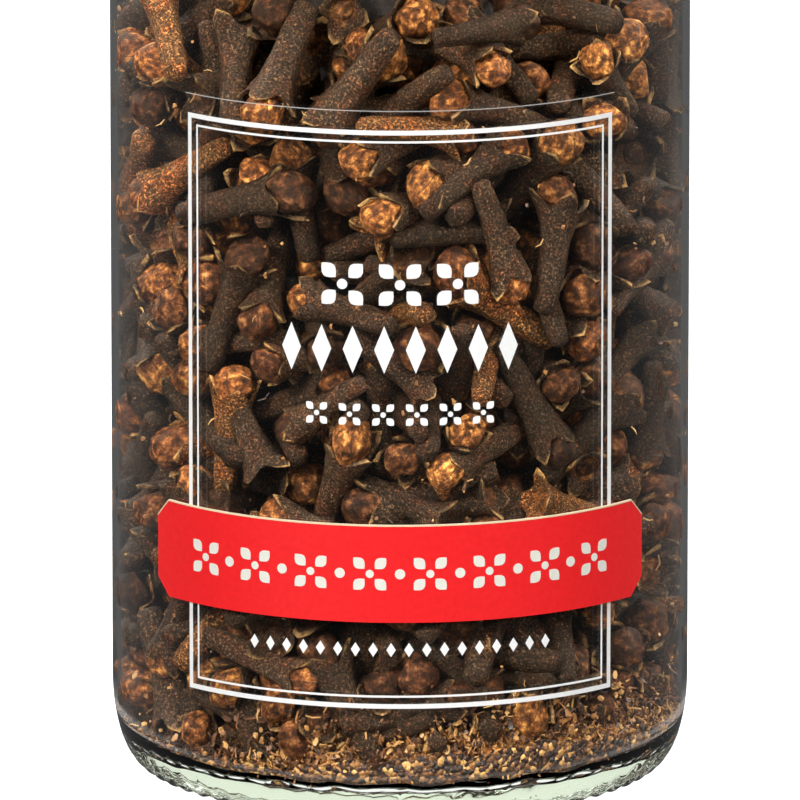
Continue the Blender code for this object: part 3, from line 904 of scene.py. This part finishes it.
BED_BROWNS = ((0.0, (0.012, 0.006, 0.004)), (0.5, (0.06, 0.024, 0.01)), (0.8, (0.3, 0.12, 0.03)),
              (1.0, (0.75, 0.42, 0.13)))


def flake(long, wide, thick, curl):
    """A thin chip, curled along its length."""
    points = []
    for step in (-1, 0, 1):
        lift = curl * step * step
        for side, up in ((-1, -1), (1, -1), (1, 1), (-1, 1)):
            points.append((long / 2 * step, wide / 2 * side * (1 - 0.45 * abs(step)), lift + thick / 2 * up))
    faces = [[0, 3, 2, 1], [8, 9, 10, 11]]
    for row in (0, 4):
        faces += [[row + a, row + (a + 1) % 4, row + 4 + (a + 1) % 4, row + 4 + a] for a in range(4)]
    return mesh_from("chip", points, faces)


def inner_room(height):
    """The radius of the glass's inside at this height."""
    low = max(0.0, INSIDE_FLOOR + INSIDE_CORNER - height)
    return INNER_RADIUS - INSIDE_CORNER + math.sqrt(max(0.0, INSIDE_CORNER ** 2 - low ** 2))


def crumb_places(rng):
    places = []
    for _ in range(CRUMBS):
        heaped = rng.random() < HEAPED_SHARE
        degrees = rng.triangular(*HEAPED_WITHIN, HEAPED_AROUND) if heaped else rng.uniform(0, 360)
        turn = math.radians(degrees)
        bed = BED_LOW + (BED_HIGH - BED_LOW) * max(0.0, math.cos(turn - BED_TURN)) ** 2
        height = INSIDE_FLOOR + LAYER_LOW + bed * rng.uniform(0.1, 1.0)
        height += min(PILE_LIMIT, rng.expovariate(1 / (PILED_UP if heaped else THINLY)))
        out = inner_room(height) - OFF_GLASS - abs(rng.gauss(0, 1.0))
        places.append((out * math.sin(turn), -out * math.cos(turn), height))
    for _ in range(SPECKS):
        turn, height = rng.uniform(0, 2 * math.pi), rng.uniform(INSIDE_FLOOR + 1, SHOULDER_START)
        out = inner_room(height) - ON_GLASS
        places.append((out * math.sin(turn), -out * math.cos(turn), height))
    return places


def dried_crumb():
    material, tree, shader = new_material("dried_crumb")
    fine = grain(tree, on_piece(tree), 2500.0, 2.0)
    colour = ramp(tree, attribute(tree, "tint"), *CRUMB_BROWNS)
    darker = blend(tree, 1.0, colour, (0.6, 0.55, 0.5, 1), "MULTIPLY")
    plug_all(tree, shader, {"Base Color": blend(tree, fine, darker, colour), "Roughness": 0.5})
    return material


def floor_height(radius):
    """The height of the glass floor inside, with the most that its waves add."""
    return inside_floor(radius) + UNEVEN / 2


def crumb_bed():
    """The fine crumbs at the bottom as one lumpy ring-shaped bed that touches the glass."""
    points, faces = [], []
    for number in range(BED_AROUND):
        turn = 2 * math.pi * number / BED_AROUND
        side, front = math.sin(turn), -math.cos(turn)
        swell = max(0.0, math.cos(turn - BED_TURN)) ** 2
        top = INSIDE_FLOOR + BED_LOW + (BED_HIGH - BED_LOW) * swell
        top += BED_SWELL * noise.noise(Vector((side * 9, front * 9, 1.0)))
        rows = [(radius, floor_height(radius) + AIR_GAP) for radius in BED_FLOOR_RADII]
        rows += [(inner_room(z) - AIR_GAP, z) for z in np.linspace(INSIDE_FLOOR + 0.2, top, BED_WALL_ROWS)]
        reach = inner_room(top)
        for share in BED_TOP_SHARES:
            lump = noise.fractal(Vector((side, front, 0)) * reach * share * 0.8, 1.0, 2.0, 3)
            height = top - BED_SLOPE * (1 - share) + BED_LUMP * lump
            rows.append((reach * share, max(INSIDE_FLOOR + BED_LEAST, height)))
        points += [(radius * side, radius * front, height) for radius, height in rows]
    per = len(points) // BED_AROUND
    for number in range(BED_AROUND):
        here, there = number * per, (number + 1) % BED_AROUND * per
        faces += [[here + row, there + row, there + row + 1, here + row + 1] for row in range(per - 1)]
        faces.append([here + per - 1, there + per - 1, there, here])
    mesh = mesh_from("crumb_bed", points, faces)
    fix_normals(mesh)
    return mesh


def packed_crumbs():
    """Fine crumbs as a surface: cells of every brown, and a deep, sharp grain."""
    material, tree, shader = new_material("packed_crumbs")
    uneven = add(tree, "ShaderNodeVectorMath", {0: on_piece(tree), 1: (1.0, 1.0, 0.9)}, operation="MULTIPLY")
    cells = add(tree, "ShaderNodeTexVoronoi", {"Vector": uneven.outputs[0], "Scale": 2300.0}).outputs
    pick = add(tree, "ShaderNodeSeparateColor", {0: cells["Color"]}).outputs[0]
    bump = add(tree, "ShaderNodeBump", {"Height": cells["Distance"], "Distance": 0.5 * MM}, invert=True)
    plug_all(tree, shader, {"Base Color": ramp(tree, pick, *BED_BROWNS), "Roughness": 0.6,
                            "Normal": bump.outputs[0]})
    return material


keep("crumb_bed", crumb_bed(), packed_crumbs(), "cloves")
crumb_skin = dried_crumb()
rng = random.Random(29)
found = crumb_places(rng)
for number, (name, measures) in enumerate(CHIPS):
    some = found[number::len(CHIPS)]
    turns = [[rng.uniform(0, 2 * math.pi) for _ in range(3)] for _ in some]
    sizes = []
    for index in range(len(some)):
        is_speck = number + index * len(CHIPS) >= CRUMBS
        sizes.append(rng.uniform(*CRUMB_SIZES) * (SPECK_SIZE if is_speck else 1))
    tints = [rng.random() for _ in some]
    crumbs = scatter(flake(*measures), some, turns, sizes, tints, crumb_skin)
    keep(name, crumbs, crumb_skin, "cloves")

# %% [markdown]
# ## The clear film and its white print
#
# The film is so clear that only its edge shows, as a faint line across the glass. Everything
# printed on it is plain white ink. The frame is two ruled lines, a wide one outside and a narrow
# one inside. Straight bars are built flat, in Geometry Nodes, and then wrapped round the jar:
# what was x becomes the way round, what was depth becomes the distance from the glass.

# %% The wrap and the sheets
FILM_RADIUS, FILM_THICK = JAR_RADIUS + 0.12, 0.08
INK_RADIUS = FILM_RADIUS + FILM_THICK + 0.01
BAND_RADIUS, BAND_THICK = JAR_RADIUS + 0.39, 0.2


def wrap(tree, geometry, radius):
    """Bends what was built flat in X and Z round the jar's front. Depth is Y, outwards."""
    place = add(tree, "ShaderNodeSeparateXYZ", {0: add(tree, "GeometryNodeInputPosition").outputs[0]}).outputs
    turn = math_node(tree, "DIVIDE", place["X"], radius)
    out = math_node(tree, "ADD", radius, place["Y"])
    across = math_node(tree, "MULTIPLY", out, math_node(tree, "SINE", turn))
    ahead = times(tree, times(tree, out, math_node(tree, "COSINE", turn)), -1.0)
    bent = add(tree, "ShaderNodeCombineXYZ", {"X": across, "Y": ahead, "Z": place["Z"]}).outputs[0]
    return add(tree, "GeometryNodeSetPosition", {"Geometry": geometry, "Position": bent}).outputs[0]


def sheet(name, corners, radius, thick):
    """A bent sheet. Corners are (angle from the front in degrees, low, high), from left to right."""
    points = []
    for degrees, low, high in corners:
        turn = math.radians(degrees)
        for out, height in ((radius, low), (radius + thick, low), (radius + thick, high), (radius, high)):
            points.append((out * math.sin(turn), -out * math.cos(turn), height))
    last = len(points) - 4
    faces = [[0, 3, 2, 1], [last, last + 1, last + 2, last + 3]]
    for row in range(0, last, 4):
        faces += [[row + a, row + (a + 1) % 4, row + 4 + (a + 1) % 4, row + 4 + a] for a in range(4)]
    mesh = mesh_from(name, points, faces)
    fix_normals(mesh)
    return mesh


def clear_film(name="clear_film", alpha=None):
    """Almost nothing: a little white haze and a soft gloss. A cut edge has one alpha all over."""
    material, tree, shader = new_material(name)
    if alpha is None:
        smear = between(tree, grain(tree, on_piece(tree), 90.0, 3.0), 0.4, 0.75)
        alpha = math_node(tree, "MULTIPLY_ADD", smear, 0.0015, 0.001)
    plug_all(tree, shader, {"Base Color": (0.95, 0.95, 0.92, 1), "Alpha": alpha, "Roughness": 0.25})
    return material


FILM_HALF, FILM_LOW, FILM_HIGH, FILM_EDGE, FILM_STEPS = 46.4, 9.9, 69.8, 0.09, 61
angles = np.linspace(-FILM_HALF, FILM_HALF, FILM_STEPS)
film = sheet("clear_film", [(angle, FILM_LOW, FILM_HIGH) for angle in angles], FILM_RADIUS, FILM_THICK)
keep("clear_film", film, clear_film(), "label_film")
line = [(angle, FILM_HIGH - FILM_EDGE, FILM_HIGH) for angle in angles]
edge = sheet("film_edge", line, FILM_RADIUS + FILM_THICK, 0.02)
keep("film_edge", edge, clear_film("film_cut_edge", 0.3), "label_film")

# %% [markdown]
# ## The ruled frame
#
# The film's print is framed by two lines, one inside the other. They differ in their measures only,
# so one tree makes both: it joins four bars, bends them round the jar and paints them. It runs once
# with the measures of the outer line and once with those of the inner one.

# %% The ruled frame
def bar(tree, wide, deep, tall, x, z, steps):
    """A flat bar in the X and Z plane with its middle at x, z, cut into steps so that it can bend."""
    size = add(tree, "ShaderNodeCombineXYZ", {"X": wide, "Y": deep, "Z": tall}).outputs[0]
    cube = add(tree, "GeometryNodeMeshCube", {"Size": size, "Vertices X": steps}).outputs["Mesh"]
    place = add(tree, "ShaderNodeCombineXYZ", {"X": x, "Y": times(tree, deep, 0.5), "Z": z}).outputs[0]
    return add(tree, "GeometryNodeTransform", {"Geometry": cube, "Translation": place}).outputs[0]


def frame_tree():
    tree, given, out = geometry_tree(
        "ruled_frame", Width=("Float", 0.04), Low=("Float", 0.01), High=("Float", 0.06),
        Line=("Float", 0.0005), Depth=("Float", 0.00003), Radius=("Float", 0.03), Finish=("Material", None))
    line = given["Line"]
    half_line = times(tree, line, 0.5)
    side = math_node(tree, "SUBTRACT", times(tree, given["Width"], 0.5), half_line)
    middle = times(tree, math_node(tree, "ADD", given["Low"], given["High"]), 0.5)
    whole = math_node(tree, "SUBTRACT", given["High"], given["Low"])
    tall = math_node(tree, "SUBTRACT", whole, times(tree, line, 2.0))
    join = add(tree, "GeometryNodeJoinGeometry")
    low = math_node(tree, "ADD", given["Low"], half_line)
    high = math_node(tree, "SUBTRACT", given["High"], half_line)
    for height in (low, high):
        tree.links.new(bar(tree, given["Width"], given["Depth"], line, 0.0, height, 61), join.inputs[0])
    for place in (side, times(tree, side, -1.0)):
        tree.links.new(bar(tree, line, given["Depth"], tall, place, middle, 2), join.inputs[0])
    bent = wrap(tree, join.outputs[0], given["Radius"])
    real = add(tree, "GeometryNodeRealizeInstances", {"Geometry": bent})
    done = add(tree, "GeometryNodeSetMaterial", {"Geometry": real.outputs[0], "Material": given["Finish"]})
    plug(tree, out.inputs["Geometry"], done.outputs[0])
    return tree


def ink(name, colour):
    """Printing ink: even, half glossy, with the slightest mottle."""
    material, tree, shader = new_material(name)
    mottle = grain(tree, on_piece(tree), 1500.0, 3.0)
    shades = (0.3, tuple(0.93 * c for c in colour)), (0.7, colour)
    plug_all(tree, shader, {"Base Color": ramp(tree, mottle, *shades), "Roughness": 0.4})
    return material


def from_tree(name, tree, material, node, slot, **values):
    """A piece made wholly by a tree: the tree runs on an empty mesh."""
    start = bpy.data.objects.new(name + "_start", bpy.data.meshes.new(name + "_start"))
    bpy.context.scene.collection.objects.link(start)
    made = run_tree(start, tree, Finish=material, **values)
    fix_normals(made)
    bpy.data.objects.remove(start)
    return keep(name, made, material, node)


white_ink = ink("white_ink", (0.97, 0.97, 0.95))
ruled = frame_tree()
RULES = (("frame_outer", 44.7, 11.75, 67.9, 0.45), ("frame_inner", 42.5, 12.83, 66.88, 0.2))
for name, width, low, high, line in RULES:
    measures = dict(Width=width * MM, Low=low * MM, High=high * MM, Line=line * MM)
    from_tree(name, ruled, white_ink, "label_film", "clear_film",
              **measures, Depth=0.03 * MM, Radius=INK_RADIUS * MM)

# %% [markdown]
# ## The printed ornaments
#
# The film and the band are printed with plain ornaments in rows: rosettes of four petals, lozenges
# and dots. Each row repeats one motif, so one small shape is drawn flat, Geometry Nodes repeat it
# along a line, and the same wrap bends the row round the jar.

# %% The printed ornaments
def row_tree():
    tree, given, out = geometry_tree(
        "print_row", Shape=("Object", None), Count=("Int", 5), Pitch=("Float", 0.004),
        Height=("Float", 0.03), Radius=("Float", 0.03), Finish=("Material", None))
    less = math_node(tree, "SUBTRACT", given["Count"], 1.0)
    start = times(tree, times(tree, less, given["Pitch"]), -0.5)
    first = add(tree, "ShaderNodeCombineXYZ", {"X": start, "Z": given["Height"]}).outputs[0]
    step = add(tree, "ShaderNodeCombineXYZ", {"X": given["Pitch"]}).outputs[0]
    points = {"Count": given["Count"], "Start Location": first, "Offset": step}
    line = add(tree, "GeometryNodeMeshLine", points).outputs[0]
    shape = add(tree, "GeometryNodeObjectInfo", {"Object": given["Shape"]}).outputs["Geometry"]
    copies = add(tree, "GeometryNodeInstanceOnPoints", {"Points": line, "Instance": shape}).outputs[0]
    real = add(tree, "GeometryNodeRealizeInstances", {"Geometry": copies})
    bent = wrap(tree, real.outputs[0], given["Radius"])
    done = add(tree, "GeometryNodeSetMaterial", {"Geometry": bent, "Material": given["Finish"]})
    plug(tree, out.inputs["Geometry"], done.outputs[0])
    return tree


def flat_shape(outlines, depth=0.03):
    """Closed thin solids from outlines in X and Z, each given as a list of points round it."""
    points, faces = [], []
    for outline in outlines:
        first, count = len(points), len(outline)
        points += [(x, 0, z) for x, z in outline] + [(x, depth, z) for x, z in outline]
        faces.append([first + a for a in range(count)])
        faces.append([first + count + a for a in reversed(range(count))])
        for here in range(count):
            after = (here + 1) % count
            faces.append([first + after, first + here, first + count + here, first + count + after])
    return mesh_from("ornament", points, faces)


def petal(turn, inner, outer, wide, steps=6):
    """An almond from inner to outer along the direction turn."""
    along = [inner + (outer - inner) * s / steps for s in range(steps + 1)]
    swell = [wide / 2 * math.sin(math.pi * s / steps) for s in range(steps + 1)]
    flat = list(zip(along, swell)) + [(a, -s) for a, s in list(zip(along, swell))[-2:0:-1]]
    cos, sin = math.cos(turn), math.sin(turn)
    return [(a * cos - s * sin, a * sin + s * cos) for a, s in flat][::-1]


def dot(radius, x=0.0, z=0.0, steps=14):
    turns = [-2 * math.pi * step / steps for step in range(steps)]
    return [(x + radius * math.cos(t), z + radius * math.sin(t)) for t in turns]


def rosette(size):
    petals = [petal(math.pi / 2 * k + math.pi / 4, 0.16 * size, 0.5 * size, 0.26 * size) for k in range(4)]
    return flat_shape(petals + [dot(0.09 * size)])


def lozenge(wide, tall):
    return flat_shape([[(wide / 2, 0), (0, -tall / 2), (-wide / 2, 0), (0, tall / 2)]])


rows = row_tree()
cream_ink = ink("cream_ink", (0.86, 0.84, 0.74))
BAND_FACE = BAND_RADIUS + BAND_THICK
ON_FILM = (INK_RADIUS, white_ink, "label_film", "clear_film")
ON_BAND = (BAND_FACE, cream_ink, "label_band", "red_paper")
PRINT = (
    ("print_rosettes", rosette(5.6), 3, 5.5, 53.0, ON_FILM),
    ("print_lozenges", lozenge(1.9, 4.6), 8, 3.0, 46.7, ON_FILM),
    ("print_small_rosettes", rosette(2.9), 6, 3.2, 40.4, ON_FILM),
    ("print_line", lozenge(0.9, 1.4), 18, 1.7, 17.5, ON_FILM),
    ("band_rosettes", rosette(4.4), 8, 5.75, 25.0, ON_BAND),
    ("band_dots", flat_shape([dot(0.5)]), 7, 5.75, 25.0, ON_BAND),
)
for name, motif, count, pitch, height, (radius, finish, node, slot) in PRINT:
    drawn = bpy.data.objects.new("motif", motif)
    bpy.context.scene.collection.objects.link(drawn)
    measures = dict(Count=count, Pitch=pitch * MM, Height=height * MM, Radius=radius * MM)
    from_tree(name, rows, finish, node, slot, Shape=drawn, **measures)
    bpy.data.objects.remove(drawn)

# %% [markdown]
# ## The red band
#
# A die-cut strip of coated red paper with its corners cut off, stuck over the film and wider than
# it. Its upper edge shows as a fine cream line, the uncoated core of the paper.

# %% The red band
BAND_HALF, BAND_LOW, BAND_HIGH, BAND_CUT, BAND_STEPS = 54.4, 20.25, 29.75, 1.7, 71
REDS = ((0.3, (0.86, 0.011, 0.014)), (0.7, (0.94, 0.016, 0.018)))


def band_corners():
    edge = BAND_HALF - math.degrees(BAND_CUT / BAND_RADIUS)
    ends = [BAND_HALF - math.degrees(BAND_CUT / BAND_RADIUS) * share for share in (0, 0.5)]
    rows = []
    for angle in sorted(set([*np.linspace(-edge, edge, BAND_STEPS), *ends, *(-end for end in ends)])):
        cut = max(0.0, math.radians(abs(angle) - edge) * BAND_RADIUS)
        rows.append((angle, BAND_LOW + cut, BAND_HIGH - cut))
    return rows


def red_paper():
    material, tree, shader = new_material("red_paper")
    fibre = grain(tree, on_piece(tree), 1800.0, 4.0)
    plug_all(tree, shader, {"Base Color": ramp(tree, fibre, *REDS), "Roughness": 0.45,
                            "Normal": bumps(tree, fibre, 0.01 * MM)})
    return material


band = sheet("red_band", band_corners(), BAND_RADIUS, BAND_THICK)
keep("red_band", band, red_paper(), "label_band")
cream = ink("paper_core", (0.85, 0.68, 0.45))
line = [(angle, high - 0.13, high + 0.03) for angle, _, high in band_corners()]
edge = sheet("band_edge", line, BAND_RADIUS + 0.02, BAND_THICK)
keep("band_edge", edge, cream, "label_band")

# %% [markdown]
# ## The lid
#
# The photograph's upper edge cuts the jar off below its neck, so the lid is the plainest that such
# a jar has: a stamped twist-off lid in black lacquer, with a rolled lower edge, a flat panel and the
# low button that clicks when the vacuum goes.

# %% The lid
LID_LOW, LID_HIGH, LID_RADIUS, LID_WALL = 91.0, 101.6, 25.0, 0.8
LID_ROUND, LID_CURL, PANEL_RADIUS, PANEL_DEPTH = 1.6, 0.75, 21.4, 0.7
BUTTON_RADIUS, BUTTON_RISE = 9.0, 0.45
BLACKS = ((0.35, (0.012, 0.012, 0.013)), (0.75, (0.024, 0.024, 0.026)))


def lid_outline():
    panel, rim = LID_HIGH - PANEL_DEPTH, LID_RADIUS - LID_ROUND
    waves = [(s, math.cos(math.pi * s)) for s in np.linspace(0, 1, 9)]
    line = [(BUTTON_RADIUS * s, panel + BUTTON_RISE * (0.5 + 0.5 * wave)) for s, wave in waves]
    line += [(PANEL_RADIUS - 0.5, panel)]
    line += [(PANEL_RADIUS + PANEL_DEPTH * s, panel + PANEL_DEPTH * (0.5 - 0.5 * wave)) for s, wave in waves]
    line += arc((rim, LID_HIGH - LID_ROUND), (LID_ROUND, LID_ROUND), 90, 0, 10)
    line += arc((LID_RADIUS, LID_LOW + LID_CURL), (LID_CURL, LID_CURL), 90, -90, 12)
    inside = LID_HIGH - LID_WALL - PANEL_DEPTH
    return line + [(LID_RADIUS - LID_WALL, LID_LOW), (LID_RADIUS - LID_WALL, inside), (0, inside)]


def black_lacquer():
    material, tree, shader = new_material("black_lacquer")
    place = on_piece(tree)
    peel, wear = grain(tree, place, 700.0, 2.0), grain(tree, place, 160.0, 3.0)
    plug_all(tree, shader, {"Base Color": ramp(tree, wear, *BLACKS), "Specular IOR Level": 0.25,
                            "Roughness": rescale(tree, wear, 0.0, 1.0, 0.62, 0.74),
                            "Normal": bumps(tree, peel, 0.02 * MM)})
    return material


keep("lid_shell", turned("lid_shell", lid_outline(), 160), black_lacquer(), "lid")

# %% [markdown]
# ## The floor
#
# A plain pale sheet, large enough that the camera never sees past it in front.

# %% The floor
SIDE = 900
corners = [(-SIDE, -SIDE, 0), (SIDE, -SIDE, 0), (SIDE, SIDE, 0), (-SIDE, SIDE, 0)]
floor = bpy.data.objects.new("floor", mesh_from("floor", corners, [[0, 1, 2, 3]]))
bpy.context.scene.collection.objects.link(floor)
pale, tree, shader = new_material("pale_floor")
plug_all(tree, shader, {"Base Color": (0.5, 0.5, 0.5, 1), "Roughness": 0.8,
                        "Emission Color": (1, 1, 1, 1), "Emission Strength": 0.8})
floor.data.materials.append(pale)
floor.visible_diffuse = floor.visible_glossy = floor.visible_transmission = floor.visible_shadow = False
